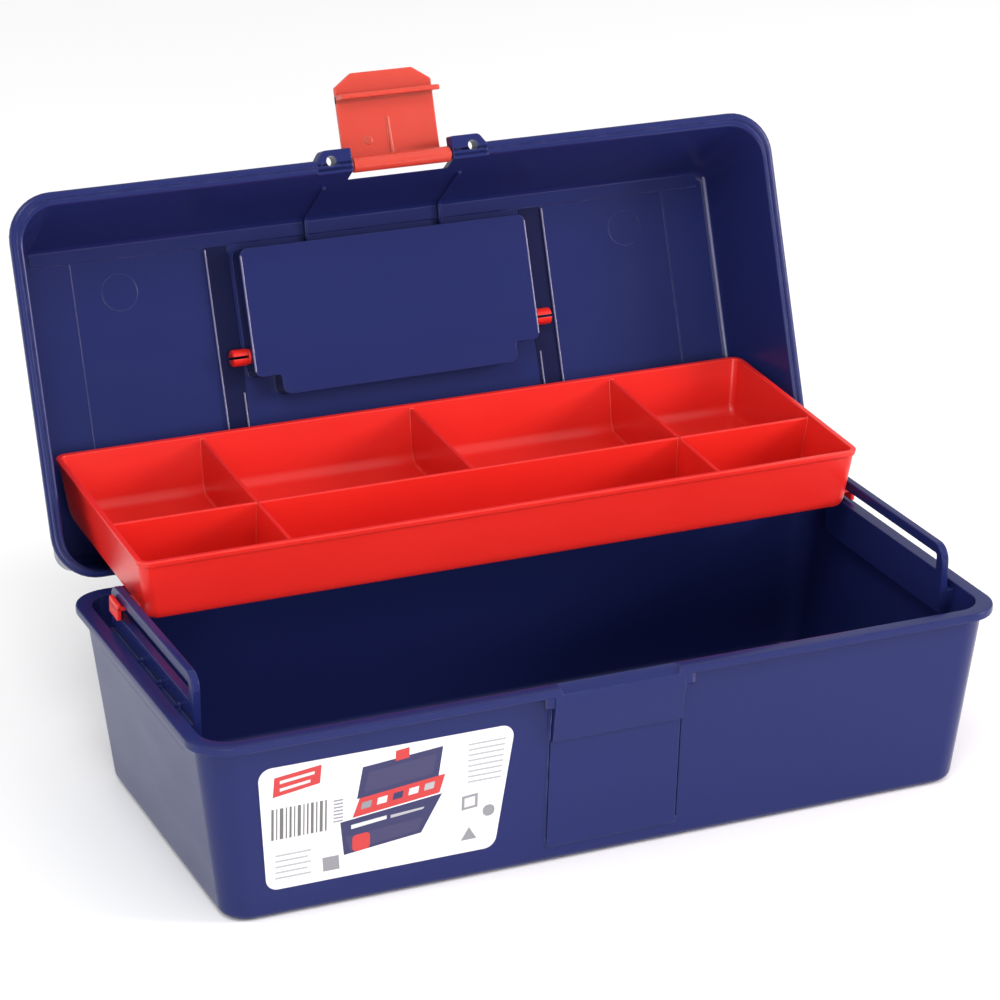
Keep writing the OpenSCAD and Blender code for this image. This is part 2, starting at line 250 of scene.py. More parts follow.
def drawn_steel(name):
    """Bright wire with fine lines drawn along its length."""
    material, nodes, links, shader = new_material(name)
    coords = nodes.new("ShaderNodeTexCoord").outputs["Object"]
    lines = noise(nodes, links, coords, 1800.0, 3.0, (0.02, 1, 1))
    tint = mixed(nodes, links, lines, (0.42, 0.42, 0.43), (0.62, 0.62, 0.63))
    links.new(tint, shader.inputs["Base Color"])
    links.new(spread(nodes, links, lines, 0.3, 0.7, 0.22, 0.38), shader.inputs["Roughness"])
    links.new(bump(nodes, links, lines, 0.00003, 0.4), shader.inputs["Normal"])
    shader.inputs["Metallic"].default_value = 1.0
    return material


def printed_film(name, colour, rough=0.3):
    """Printed label film: a faint halftone and the ripple of paper stuck on a moulded wall."""
    material, nodes, links, shader = new_material(name)
    coords = nodes.new("ShaderNodeTexCoord").outputs["Object"]
    dark = tuple(c * 0.93 for c in colour)
    tone = noise(nodes, links, coords, 3000.0, 1.0)
    links.new(mixed(nodes, links, tone, colour, dark), shader.inputs["Base Color"])
    ripple = bump(nodes, links, noise(nodes, links, coords, 60.0, 3.0), 0.0003, 0.3)
    links.new(ripple, shader.inputs["Normal"])
    haze = noise(nodes, links, coords, 300.0, 2.0)
    rough_range = spread(nodes, links, haze, 0.3, 0.7, rough - 0.04, rough + 0.06)
    links.new(rough_range, shader.inputs["Roughness"])
    return material


# The third colour of each plastic is pale, its painted edge highlight.
NAVY = moulded_plastic(
    "navy_plastic", (0.012, 0.018, 0.098), (0.0115, 0.0172, 0.094), (0.06, 0.065, 0.18), 0.24, 0.2)
# Painted highlight: a pale navy for the thin beads along the lid's inner corners and beside the groove
# strips, in place of specular highlight lines.
HIGHLIGHT_BEAD = moulded_plastic(
    "navy_painted_highlight", (0.15, 0.15, 0.27), (0.13, 0.13, 0.24), (0.3, 0.3, 0.4), 0.15, 0.6)
# Painted shade: a darker navy for the strips beside the handle recess, where the groove's shade falls.
SHADE = moulded_plastic(
    "navy_painted_shade", (0.005, 0.007, 0.045), (0.0045, 0.0065, 0.04), (0.03, 0.03, 0.1), 0.3, 0.15)
RED = moulded_plastic(
    "red_plastic", (0.69, 0.020, 0.014), (0.65, 0.016, 0.012), (0.85, 0.12, 0.08), 0.30, 0.4, 0.12, 0.3)
THIN = moulded_plastic(
    "red_thin_plastic", (0.54, 0.055, 0.034), (0.50, 0.05, 0.03), (0.85, 0.25, 0.17), 0.30, 0.4, 0.4, 0.3)
STEEL = drawn_steel("pin_steel")
FILM = printed_film("label_paper", (0.72, 0.72, 0.73))

# ------------------------------------------------------------------ outlines


def ring(hx, y0, y1, r, front=(), steps=10):
    """Round-cornered outline, anticlockwise. front adds points along its front edge."""
    corners = ((hx - r, y0 + r, -90), (hx - r, y1 - r, 0), (r - hx, y1 - r, 90), (r - hx, y0 + r, 180))
    points = [(x, y0) for x in front]
    for cx, cy, start in corners:
        for i in range(steps + 1):
            a = radians(start + 90 * i / steps)
            points.append((cx + r * cos(a), cy + r * sin(a)))
    return points


def rounded(corners, steps=5):
    """Outline through (x, y, radius) corners, each turned into an arc."""
    points = []
    count = len(corners)
    for i in range(count):
        x, y, r = corners[i]
        here = Vector((x, y))
        if r <= 0:
            points.append((x, y))
            continue
        back = (Vector(corners[i - 1][:2]) - here).normalized()
        ahead = (Vector(corners[(i + 1) % count][:2]) - here).normalized()
        half = back.angle(ahead) / 2
        reach = r / tan(half)
        start = here + back * reach
        end = here + ahead * reach
        centre = here + (back + ahead).normalized() * (r / sin(half))
        a0 = atan2(start.y - centre.y, start.x - centre.x)
        a1 = atan2(end.y - centre.y, end.x - centre.x)
        turn = (a1 - a0 + pi) % (2 * pi) - pi
        for k in range(steps + 1):
            a = a0 + turn * k / steps
            points.append((centre.x + r * cos(a), centre.y + r * sin(a)))
    return points


def circle(cx, cy, r, steps=40):
    return [(cx + r * cos(2 * pi * k / steps), cy + r * sin(2 * pi * k / steps)) for k in range(steps)]


def rect(x0, y0, x1, y1):
    return [(x0, y0), (x1, y0), (x1, y1), (x0, y1)]


def outline_area(points):
    return sum(a[0] * b[1] - b[0] * a[1] for a, b in zip(points, points[1:] + points[:1])) / 2


def shrink(outline, inset):
    """Moves each point of an anticlockwise outline inwards by inset."""
    if inset == 0:
        return outline
    count = len(outline)
    sharpest = 0.4
    moved = []
    for i in range(count):
        here = Vector(outline[i])
        before = (here - Vector(outline[i - 1])).normalized()
        after = (Vector(outline[(i + 1) % count]) - here).normalized()
        normal = Vector((-before.y - after.y, before.x + after.x))
        normal.normalize()
        lean = max(normal.dot(Vector((-after.y, after.x))), sharpest)
        moved.append(tuple(here + normal * (inset / lean)))
    return moved


# ------------------------------------------------------------------ mesh tools


def mesh_object(name, vertices, faces):
    mesh = bpy.data.meshes.new(name)
    mesh.from_pydata([tuple(v) for v in vertices], [], faces)
    mesh.validate()
    piece = bpy.data.objects.new(name, mesh)
    bpy.context.scene.collection.objects.link(piece)
    return piece


def skin(name, rows):
    """A closed solid through rows of points, each row running anticlockwise seen from above."""
    n = len(rows[0])
    vertices = [p for row in rows for p in row]
    faces = [tuple(reversed(range(n)))]
    for k in range(len(rows) - 1):
        for i in range(n):
            j = (i + 1) % n
            faces.append((k * n + i, k * n + j, (k + 1) * n + j, (k + 1) * n + i))
    faces.append(tuple((len(rows) - 1) * n + i for i in range(n)))
    return mesh_object(name, vertices, faces)


def prism(name, rows):
    """A closed solid through (outline, z) rows."""
    return skin(name, [[(x, y, z) for x, y in outline] for outline, z in rows])


def slab(name, outline, z0, z1, edge=0.0, steps=3):
    """An extruded outline, its edges rounded by edge."""
    if outline_area(outline) < 0:
        outline = outline[::-1]
    rows = [(z0, 0.0), (z1, 0.0)]
    if edge > 0:
        angles = [radians(90 * k / steps) for k in range(steps + 1)]
        rows = [(z0 + edge * (1 - cos(a)), edge * (1 - sin(a))) for a in angles]
        rows += [(z0 + z1 - z, inset) for z, inset in rows[::-1]]
    return prism(name, [(shrink(outline, inset), z) for z, inset in rows])


def block(name, low, high, edge=0.3):
    """A box between two corners with rounded edges."""
    corners = [(x, y, edge) for x, y in rect(low[0], low[1], high[0], high[1])]
    return slab(name, rounded(corners, 3), low[2], high[2], edge * 0.95)


def bar_x(name, outline, x0, x1, edge=0.3):
    """A bar along X: the outline's x and y become Y and Z."""
    bar = slab(name, outline, 0, x1 - x0, edge)
    bar.data.transform(Matrix(((0, 0, 1, x0), (1, 0, 0, 0), (0, 1, 0, 0), (0, 0, 0, 1))))
    return bar


def rod(name, x0, x1, y, z, r, edge=0.3):
    """A round bar along X."""
    return bar_x(name, circle(y, z, r), x0, x1, edge)


def rod_y(name, x, z, r, y0, y1):
    """A round bar along Y."""
    bar = slab(name, circle(x, z, r, 16), -y1, -y0, 0.3)
    bar.data.transform(Matrix(((1, 0, 0, 0), (0, 0, -1, 0), (0, 1, 0, 0), (0, 0, 0, 1))))
    return bar


def apply_modifiers(piece):
    bpy.context.view_layer.update()
    graph = bpy.context.evaluated_depsgraph_get()
    mesh = bpy.data.meshes.new_from_object(piece.evaluated_get(graph))
    old = piece.data
    piece.modifiers.clear()
    piece.data = mesh
    bpy.data.meshes.remove(old)


def combine(piece, tools, operation):
    """Applies the tools to the piece one after another with a boolean, and removes them."""
    for tool in tools:
        modifier = piece.modifiers.new("cut", "BOOLEAN")
        modifier.operation = operation
        modifier.solver = "EXACT"
        modifier.object = tool
        apply_modifiers(piece)
        bpy.data.objects.remove(tool)
    return piece


def copy_of(piece):
    twin = bpy.data.objects.new(piece.name + "_copy", piece.data.copy())
    bpy.context.scene.collection.objects.link(twin)
    return twin


def join(piece, others):
    """Puts the other meshes into piece as they are."""
    both = bmesh.new()
    both.from_mesh(piece.data)
    for other in others:
        both.from_mesh(other.data)
        bpy.data.objects.remove(other)
    both.to_mesh(piece.data)
    both.free()
    return piece


def finish_piece(piece, material, body, place=None, nodes=()):
    """Moves a piece from its own frame to the row frame in metres, smooths it, and gives it its body."""
    sharp_angle = radians(32)
    touching = 1e-7
    if place is not None:
        piece.data.transform(place)
    piece.data.transform(Matrix.Scale(MM, 4))
    mesh = bmesh.new()
    mesh.from_mesh(piece.data)
    bmesh.ops.remove_doubles(mesh, verts=mesh.verts, dist=touching)
    bmesh.ops.dissolve_degenerate(mesh, edges=mesh.edges, dist=touching)
    bmesh.ops.recalc_face_normals(mesh, faces=mesh.faces)
    mesh.to_mesh(piece.data)
    mesh.free()
    for face in piece.data.polygons:
        face.use_smooth = True
    piece.data.set_sharp_from_angle(angle=sharp_angle)
    weighted = piece.modifiers.new("weighted_normals", "WEIGHTED_NORMAL")
    weighted.keep_sharp = True
    piece.data.materials.clear()
    piece.data.materials.append(material)
    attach(piece, body)
    if nodes:
        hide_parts(*nodes)
    return piece


# ------------------------------------------------------------------ tub

catch_points = (8, CATCH - 2.8, CATCH - 2, CATCH, CATCH + 0.7)
FRONT_X = tuple(-x for x in catch_points[::-1]) + catch_points


def wall_at(z):
    """Half length and half width of the tub's outer wall at height z."""
    lean = 1 - z / WALL_Z
    return WALL_X - END_DRAFT * lean, WALL_Y - SIDE_DRAFT * lean


def catch_face(x, y, z):
    """Pushes the front wall out at the latch catch and the pad under it."""
    if y > -WALL_Y + SIDE_DRAFT + 4 or abs(x) > CATCH + 0.05:
        return y
    if z >= CATCH_Z + 0.2:
        rise = min((z - CATCH_Z) / (WALL_Z - 5 - CATCH_Z), 1)
        return min(y, -(RIM_Y - CATCH_STEP * (1 - rise)))
    if PAD_Z <= z < WALL_Z:
        return min(y, -wall_at(z)[1] - PAD_OUT)
    return y


def rim_slope(x, y, z):
    """Lowers the rim towards the front over the catch."""
    inner = WALL_Y - 0.5
    if abs(x) > CATCH - 2.2 or -y < inner or z < RIM_Z - CATCH_DROP:
        return z
    return min(z, RIM_Z - CATCH_DROP * min((-y - inner) / (RIM_Y - inner), 1))


def tub_row(z, inset=0.0):
    """One row of the tub's skin at height z, inset from the outer wall."""
    hx, hy = wall_at(z)
    radius = max(FOOT_R + (WALL_R - FOOT_R) * z / WALL_Z - inset, 1.5)
    points = ring(hx - inset, -hy + inset, hy - inset, radius, FRONT_X)
    return [(x, catch_face(x, y, z) if inset <= 0 else y, z) for x, y in points]


def rim_row(out, z):
    """A row of the rim flange, out beyond the wall."""
    radius = WALL_R + (RIM_R - WALL_R) * out / (RIM_X - WALL_X)
    points = []
    for x, y in ring(WALL_X + out, -WALL_Y - out, WALL_Y + out, radius, FRONT_X):
        if out > 0 and z < RIM_Z - 1:
            y = catch_face(x, y, min(z, WALL_Z - 0.1))
        points.append((x, y, rim_slope(x, y, z)))
    return points


def tub_foot(lift, inset, angles):
    """Rows round the edge between the floor and the walls."""
    rows = []
    for angle in angles:
        a = radians(angle)
        rows.append(tub_row(lift + EDGE_R * (1 - cos(a)), inset + EDGE_R * (1 - sin(a))))
    return rows


def tub_rim():
    """Rows over the rim flange, from under it to its inner edge."""
    out = RIM_X - WALL_X
    under = [(0.15, WALL_Z - 0.45), (0.55, WALL_Z - 0.08), (out - 0.5, WALL_Z)]
    face = [(out - 0.15, WALL_Z + 0.12), (out, WALL_Z + 0.5), (out, RIM_Z - 0.7), (out - 0.15, RIM_Z - 0.25)]
    top = [(out - 0.6, RIM_Z), (0.2, RIM_Z), (-WALL + 0.5, RIM_Z), (-WALL + 0.12, RIM_Z - 0.15),
           (-WALL, RIM_Z - 0.6)]
    return [rim_row(*at) for at in under + face + top]


def catch_creases():
    """Cutters for the crease down each side of the pad under the catch."""
    deep, low, top = 0.7, 9.0, WALL_Z - 1.0
    cutters = []
    for x, wide in ((-CATCH - 0.3, 0.25), (CATCH + 0.4, 0.9)):
        rows = []
        for z in (low, top):
            y = -wall_at(z)[1]
            rows.append((rect(x - wide / 2, y - 2, x + wide / 2, y + deep), z))
        cutters.append(prism("crease", rows))
    return cutters


def make_tub():
    rows = [[(x, y, 0.5) for x, y, z in tub_row(0, EDGE_R + 9)], tub_row(0, EDGE_R + 8.4)]
    rows += tub_foot(0, 0, range(0, 90, 15))
    heights = (EDGE_R, 6.2, PAD_Z, 20, 34, 48.6, CATCH_Z, CATCH_Z + 0.35, 55, WALL_Z - 5, WALL_Z - 1.2)
    rows += [tub_row(z) for z in heights] + tub_rim()
    rows += [tub_row(z, WALL) for z in (WALL_Z, 40, 20, FLOOR + EDGE_R)]
    rows += tub_foot(FLOOR, WALL, range(75, -1, -15))
    tub = skin("tub_body", rows)
    cutters = []
    for x in (-HINGE_X, HINGE_X):
        cutters.append(rod("room", x - HINGE_ROOM, x + HINGE_ROOM, hinge.y, hinge.z, KNUCKLE + 0.5, 0))
    combine(tub, cutters + catch_creases(), "DIFFERENCE")
    finish_piece(tub, NAVY, "tub", nodes=("tub",))


def make_rail(side, name):
    """The slotted rail that stands inside one end of the tub, with its foot and gussets."""
    y, gusset_half = RAIL_HALF, 0.7
    outline = rounded([(-y, RAIL_LOW, 0), (y, RAIL_LOW, 0), (y, RAIL_TOP, 6), (-y, RAIL_TOP, 6)], 8)
    rail = bar_x("rail", outline, RAIL_IN, RAIL_OUT, 0.45)
    slot = rounded([(*at, 0.9) for at in rect(-SLOT_HALF, SLOT_LOW, SLOT_HALF, SLOT_TOP)], 4)
    combine(rail, [bar_x("slot", slot, RAIL_IN - 2, RAIL_OUT + 2, 0)], "DIFFERENCE")
    added = [block("foot", (RAIL_OUT - 1.5, -y + 0.3, RAIL_LOW), (WALL_X - 1, y - 0.3, WALL_Z + 0.4), 0.4)]
    for middle in (-30, -10, 10):
        low = (RAIL_OUT - 0.6, middle - gusset_half, WALL_Z - 2)
        high = (WALL_X - 1.2, middle + gusset_half, WALL_Z + 2.2)
        added.append(block("gusset", low, high, 0.3))
    join(rail, added)
    if side < 0:
        rail.data.transform(Matrix.Scale(-1, 4, (1, 0, 0)))
    rail.name = "rail_" + name
    finish_piece(rail, NAVY, "tub")


def make_catch_fillets():
    """Small curved webs where the rim flange runs into each side of the catch."""
    out, deep, root = 4.0, 2.6, 0.6
    front = -RIM_Y + 0.5
    for side, name in SIDES:
        x = side * (CATCH + 0.2)
        curve = [(x + side * out * (1 - t) ** 2, front + deep * t * t) for t in (0, 0.25, 0.5, 0.75, 1)]
        outline = [(x - side * root, front)] + curve + [(x - side * root, -WALL_Y + 0.4)]
        fillet = slab("catch_fillet_" + name, outline, WALL_Z - 4.1, RIM_Z - 2.5, 0.3)
        finish_piece(fillet, NAVY, "tub")


def make_tub_knuckles(side, name):
    """The two fixed knuckles of one hinge and the arms that hold them."""
    wide, root = 8, WALL_Y - 0.9
    r = KNUCKLE - KNUCKLE_GAP
    pieces = []
    for inner in (HINGE_ROOM, -HINGE_ROOM - wide):
        x0 = side * HINGE_X + inner
        arm = rounded([(root, WALL_Z - 6.8, 0), (hinge.y - 0.5, hinge.z - KNUCKLE + 0.1, 0.4),
                       (hinge.y - 0.5, hinge.z, 0), (root, hinge.z, 0)], 4)
        pieces.append(rod("knuckle", x0, x0 + wide, hinge.y, hinge.z, r, 0.35))
        pieces.append(bar_x("arm", arm, x0 + 0.05, x0 + wide - 0.05, 0.3))
    first = join(pieces[0], pieces[1:])
    first.name = "tub_knuckles_" + name
    finish_piece(first, NAVY, "tub")


# ------------------------------------------------------------------ lid, in its closed frame


def opened():
    """From the lid's closed frame to where it stands open."""
    turn = Matrix.Rotation(-radians(LID_OPEN), 4, "X")
    return Matrix.Translation(hinge) @ turn @ Matrix.Translation(Vector((0, LID_MID, LID_BASE)) - hinge)


def lid_row(z, grow=0.0, height=None):
    """A row of the lid's skin: its hollow's outline at z, grown by grow and put at height or at z."""
    t = z / CEILING
    front = -(LID_Y - 5) + LID_FRONT_LEAN * t - grow
    back = LID_Y - 2.6 - LID_BACK_LEAN * t + grow
    half = LID_X - 4.5 - LID_END_LEAN * t + grow
    outline = ring(half, front, back, max(LID_R - LID_R_LOSS * t + grow, 1.5))
    return [(x, y, z if height is None else height) for x, y in outline]


def lid_rim_row(inset, z):
    outline = ring(LID_X - inset, -LID_Y + inset, LID_Y - min(inset, 2.4), LID_RIM_R - inset * 0.6)
    return [(x, y, z) for x, y in outline]


def lid_rows():
    """The lid's skin, from its ceiling down the inside, round the rim and up the outside."""
    shell = WALL - 0.15
    ceiling = ((CEILING, -3), (CEILING - 0.25, -1.8), (CEILING - 0.9, -0.9), (CEILING - 2, -0.25))
    inside = ((CEILING - 3, 0), (26, 0), (12, 0), (1.1, 0), (0.35, 0.2), (0.0, 0.7))
    groove = ((3.3, 0), (3.1, 0.45), (2.5, 0.45), (2.3, 0), (1.3, 0))
    rim = ((0.65, 0.17), (0.17, 0.65), (0, 1.3), (0, 2.3), (0.2, 2.8), (0.7, 3.0))
    outside = ((3.4, shell + 0.1), (4.0, shell), (16, shell), (28, shell), (LID_H - LID_EDGE_R, shell))
    rows = [lid_row(*at) for at in ceiling + inside]
    rows += [lid_rim_row(*at) for at in groove + rim]
    rows.append(lid_row(3.0, shell + 0.5, 3.05))
    rows += [lid_row(*at) for at in outside]
    for angle in range(15, 91, 15):
        a = radians(angle)
        rows.append(lid_row(LID_H - LID_EDGE_R * (1 - sin(a)), shell - LID_EDGE_R * (1 - cos(a))))
    return rows


def recess(grow):
    """Outline of the handle recess, with its two notches at the back, grown by grow."""
    x, notch_x = RECESS_X + grow, 47 + grow
    front, mid, back = -40.3 - grow, 5 + grow, 12.8 + grow
    r, inner_r = 2.0 + grow * 0.5, 1.2
    return rounded([(-x, front, r), (x, front, r), (x, mid, r), (notch_x, mid, inner_r), (notch_x, back, r),
                    (-notch_x, back, r), (-notch_x, mid, inner_r), (-x, mid, r)], 4)


def lid_border():
    """The thicker border of the ceiling, in front and at both ends, and the ejector marks."""
    end, top = LID_X - 12.3, CEILING + 0.6
    front, back = -LID_Y + 19.8, LID_Y - 2.8
    added = [block("border", (-end + 4, front, CEILING - BORDER_STEP), (end - 4, -LID_Y + 26, top), 0.25)]
    for side in (-1, 1):
        x0, x1 = sorted((side * 124, side * end))
        added.append(block("end", (x0, front + 4, CEILING - 0.5), (x1, back - 4, top), 0.25))
        added.append(slab("ejector", circle(side * 106, -32, 7, 32), CEILING - 0.12, top, 0.05))
    return added


def lid_lugs():
    """The padlock lugs on both sides of the latch."""
    back, side_y = -LID_Y + 5.5, -LID_Y + 0.6
    lugs = []
    for side in (-1, 1):
        outer, inner = side * LUG_X, side * NOTCH
        corners = [(inner, LUG_FRONT, 0.6), (outer - side * 3, LUG_FRONT, 2.5), (outer, side_y, 1.5),
                   (outer, back, 0.5), (inner, back, 0.5)]
        lugs.append(slab("lug", rounded(corners, 5), 0, 6, 0.4))
    return lugs


def lid_cutters():
    """What is cut from the lid: handle recess, latch notch, padlock eyes and the handle's pivot holes."""
    floor, top = RECESS_FLOOR, LID_H
    heights = ((-0.5, floor), (-0.1, floor + 0.15), (0, floor + 0.6), (0, top - 0.5), (0.15, top - 0.15),
               (0.6, top), (0.8, top + 1))
    cutters = [prism("recess", [(recess(grow), z) for grow, z in heights])]
    cutters.append(block("notch", (-NOTCH, -LID_Y - 12, -2), (NOTCH, -LID_Y + 8, NOTCH_H), 0.3))
    for side in (-1, 1):
        cutters.append(slab("eye", circle(side * EYE_X, -LID_Y + 0.7, EYE_R, 32), -2, 8))
    cutters.append(rod("pivots", -61, 61, PIVOT_Y, PIVOT_Z, PIVOT_R, 0))
    return cutters


def make_lid():
    roof = RECESS_ROOF
    heights = ((WALL - 0.5, roof), (WALL - 0.12, roof + 0.12), (WALL, roof + 0.5), (WALL, LID_H - 1))
    lid = skin("lid_body", lid_rows())
    cup = prism("cup", [(recess(grow), z) for grow, z in heights])
    border = lid_border()
    combine(lid, [cup] + lid_lugs(), "UNION")
    combine(lid, lid_cutters(), "DIFFERENCE")
    join(lid, border)
    finish_piece(lid, NAVY, "lid", opened(), ("lid",))


def make_lid_knuckle(side, name):
    wide = 12
    x0 = side * HINGE_X - wide / 2
    y, z = hinge.y - LID_MID, hinge.z - LID_BASE
    root = LID_Y - 1
    knuckle = rod("lid_knuckle_" + name, x0, x0 + wide, y, z, KNUCKLE - KNUCKLE_GAP, 0.35)
    arm = rounded([(root, 0.5, 0), (y, z + 1, 0), (y, z + KNUCKLE - 0.1, 0.5), (root, 3.9, 0.3)], 4)
    join(knuckle, [bar_x("arm", arm, x0 + 0.05, x0 + wide - 0.05, 0.3)])
    finish_piece(knuckle, NAVY, "lid", opened())


def make_lid_ribs():
    """Two ribs that run down the lid's front wall and a little way onto its ceiling."""
    half = 0.8
    outline = rounded([(-61.9, 12, 0), (-60.4, 12, 0.5), (-51.2, 36.6, 2.5), (-41.5, 38.4, 0.3),
                       (-41.5, 40.5, 0), (-50.9, 40.5, 0)], 4)
    for name, x in (("left", -29.0), ("right", 27.0)):
        rib = bar_x("lid_rib_" + name, outline, x - half, x + half, 0.35)
        finish_piece(rib, NAVY, "lid", opened())


def make_lid_highlight_beads():
    """Rolled beads inside the lid, in its end corners and beside both grooves, coloured pale as painted
    highlight lines, and dark strips where the grooves lie, as painted shade.
    """
    back = LID_Y - 5
    corner = LID_X - 4.5 - LID_END_LEAN * (CEILING - 1.2) / CEILING - 0.55
    beads = ((corner, CEILING - 1.35, 0.75, 22.5 - LID_Y, LID_Y - 8),
             (70.6, CEILING - 0.9, 0.4, 27 - LID_Y, back),
             (59.2, RECESS_ROOF + 0.35, 0.45, -40, 5), (62.4, CEILING - 0.6, 0.4, 12, back))
    for side, name in SIDES:
        rods = [rod_y("bead", side * x, z, r, y0, y1) for x, z, r, y0, y1 in beads]
        # Painted shade: a dark strip laid on the ceiling where the groove is shaded.
        x0, x1 = sorted((side * 61.2, side * 70.4))
        low, high = (x0, 26.5 - LID_Y, CEILING - 0.35), (x1, LID_Y - 4, CEILING + 0.6)
        finish_piece(block("lid_groove_shade_" + name, low, high, 0.2), SHADE, "lid", opened())
        # Painted highlight: the beads carry the pale highlight navy.
        rods[0].name = "lid_highlight_beads_" + name
        finish_piece(join(rods[0], rods[1:]), HIGHLIGHT_BEAD, "lid", opened())


# ------------------------------------------------------------------ latch, round its barrel's axis


def make_latch():
    half, near, far = LATCH_HALF, LATCH_NEAR, LATCH_FAR
    hook = [(-0.6, 0.5, 0), (-0.6, far, 2.2), (-27, far, 0.4), (-27, 1.7, 0.6), (-25.1, 1.7, 0.6),
            (-25.1, near, 0.5), (-3.0, near, 1.2), (-3.0, 0.5, 0)]
    tab = [(-half, -24, 0), (-half, -30, 1.2), (-12.5, -35, 1.5), (12.5, -35, 1.5), (half, -30, 1.2),
           (half, -24, 0)]
    latch = bar_x("latch_body", rounded(hook, 5), -half, half, 0.35)
    plate = slab("tab", rounded(tab, 5), near + 0.02, far - 0.02, 0.35)
    roll = rod("roll", -half, half, 0, 0, 3, 0.4)
    slots = [block("gap", (x0, -3.8, 3.3), (x1, 0.4, 6.2), 0.3) for x0, x1 in ((-19.0, -12.0), (11.5, 18.8))]
    combine(latch, slots, "DIFFERENCE")
    stub = rod("stub", -23.6, 23.6, 0, 0, 1.55, 0.2)
    rib_foot = ((-1.0, -2.6), (1.0, -2.6), (0.35, -17), (-0.35, -17))
    rib_rows = ((near - 0.7, 0.4), (near - 0.25, 0.85), (near + 0.5, 1.0))
    rib = skin("rib", [[(x * wide, y, z) for x, y in rib_foot] for z, wide in rib_rows])
    dimple = slab("dimple", circle(-9, -9, 1.6, 24), near - 0.35, near + 0.5, 0.2)
    nub = block("nub", (19.2, -27.2, 7.0), (22.6, -25.3, 9.0), 0.4)
    grips = [block("grip", (-11, y - 0.4, far - 0.5), (11, y + 0.4, far), 0.2) for y in (-31.5, -29.5)]
    join(latch, [plate, roll, stub, rib, dimple, nub] + grips)
    place = opened() @ Matrix.Translation((0, BARREL_Y, BARREL_Z))
    finish_piece(latch, THIN, "latch", place, ("latch",))


# ------------------------------------------------------------------ handle, round its pivots' axis


def handle_path(corner, steps=10):
    """Centre line of the bail from one pivot round to the other."""
    points = [(ARM_X, y) for y in (2.0, -4.0, -12.0, -REACH + corner + 2)]
    for k in range(steps + 1):
        a = radians(90 * k / steps)
        points.append((ARM_X - corner + corner * cos(a), -REACH + corner - corner * sin(a)))
    points += [(x, -REACH) for x in (30, 15)]
    return points + [(0, -REACH)] + [(-x, y) for x, y in points[::-1]]


def handle_row(here, ahead, corner, steps=28):
    """A squarish section of the bail. It is thicker in the grip than in the arms."""
    flat_z, squareness = -3.3, 0.62
    side = Vector((-ahead.y, ahead.x))
    share = min(max((-here.y - REACH + corner) / 7, 0), 1)
    wide, tall = 3.25 + 0.72 * share, 3.3 + 0.68 * share
    row = []
    for k in range(steps):
        c, s = cos(2 * pi * k / steps), sin(2 * pi * k / steps)
        u = wide * abs(c) ** squareness * (1 if c > 0 else -1)
        v = tall * abs(s) ** squareness * (1 if s > 0 else -1)
        row.append((here.x + side.x * u, here.y + side.y * u, flat_z + tall + v))
    return row


def make_handle():
    corner = 9.0
    path = [Vector(p) for p in handle_path(corner)]
    rows = []
    for i, here in enumerate(path):
        ahead = (path[min(i + 1, len(path) - 1)] - path[max(i - 1, 0)]).normalized()
        rows.append(handle_row(here, ahead, corner))
    handle = skin("handle_body", rows)
    parts = []
    for side in (-1, 1):
        for kind, near, far, r, edge in (("eye", 50.6, 56.9, EYE_ROLL, 0.5), ("pin", 56, 60.4, 2.98, 0.3),
                                         ("head", 60.2, 67.0, EYE_ROLL, 0.9)):
            x0, x1 = sorted((side * near, side * far))
            parts.append(rod(kind, x0, x1, 0, 0, r, edge))
        split = block("split", (x0 - 1, -5, -0.5), (x1 + 1, 5, 0.5), 0.1)
        combine(parts[-1], [split], "DIFFERENCE")
    join(handle, parts)
    place = opened() @ Matrix.Translation((0, PIVOT_Y, PIVOT_Z)) @ Matrix.Rotation(-pi / 2, 4, "X")
    finish_piece(handle, RED, "handle", place, ("handle",))


# ------------------------------------------------------------------ tray, in its own level frame


def tray_row(z, inset=0.0, foot=0.0):
    """A row of the tray's skin: foot is its rounding, which is full at the back and a quarter elsewhere."""
    t = -z / TRAY_H
    edge = inset + foot / 4
    top_half, foot_half = TRAY_X - TRAY_LIP, 140
    half = top_half - (top_half - foot_half) * t - edge
    back = TRAY_W - TRAY_LIP - 5 * t - inset - foot
    return [(x, y, z) for x, y in ring(half, TRAY_LIP + t + edge, back, max(TRAY_R - inset, 1.2))]


def tray_foot(lift, inset):
    """The rows round the tray's foot, from its underside up to where the walls are straight."""
    angles = [radians(a) for a in range(0, 91, 15)]
    return [tray_row(lift - TRAY_H + TRAY_R * (1 - cos(a)), inset, TRAY_R * (1 - sin(a))) for a in angles]


def divider(cx, cy, sx, sy):
    """A wall between compartments, a little thicker at its foot, with a rounded top."""
    low, top = -TRAY_H + 1.2, -1.2
    growth = ((low, 1.0), (low + 0.9, 0.25), (low + 1.6, 0.1), (top - 0.4, 0.0), (top - 0.1, -0.2),
              (top, -0.45))
    rows = []
    for z, grow in growth:
        hx, hy = (sx / 2 + grow, sy / 2) if sx < sy else (sx / 2, sy / 2 + grow)
        rows.append((rect(cx - hx, cy - hy, cx + hx, cy + hy), z))
    return prism("divider", rows)


def tray_rows():
    """The tray's skin, from its underside up the outside, over the lip and down the inside."""
    under_lip = ((-2.2, -0.1), (-2.05, -0.5), (-1.9, -0.66), (-0.45, -0.7), (-0.12, -0.55), (0, -0.2))
    over_lip = ((0, TRAY_WALL - 0.5), (-0.15, TRAY_WALL - 0.12), (-0.6, TRAY_WALL), (-10, TRAY_WALL))
    rows = tray_foot(0, 0) + [tray_row(z) for z in (-12, -2.6)]
    rows += [tray_row(*at) for at in under_lip + over_lip]
    return rows + tray_foot(TRAY_WALL, TRAY_WALL)[::-1]


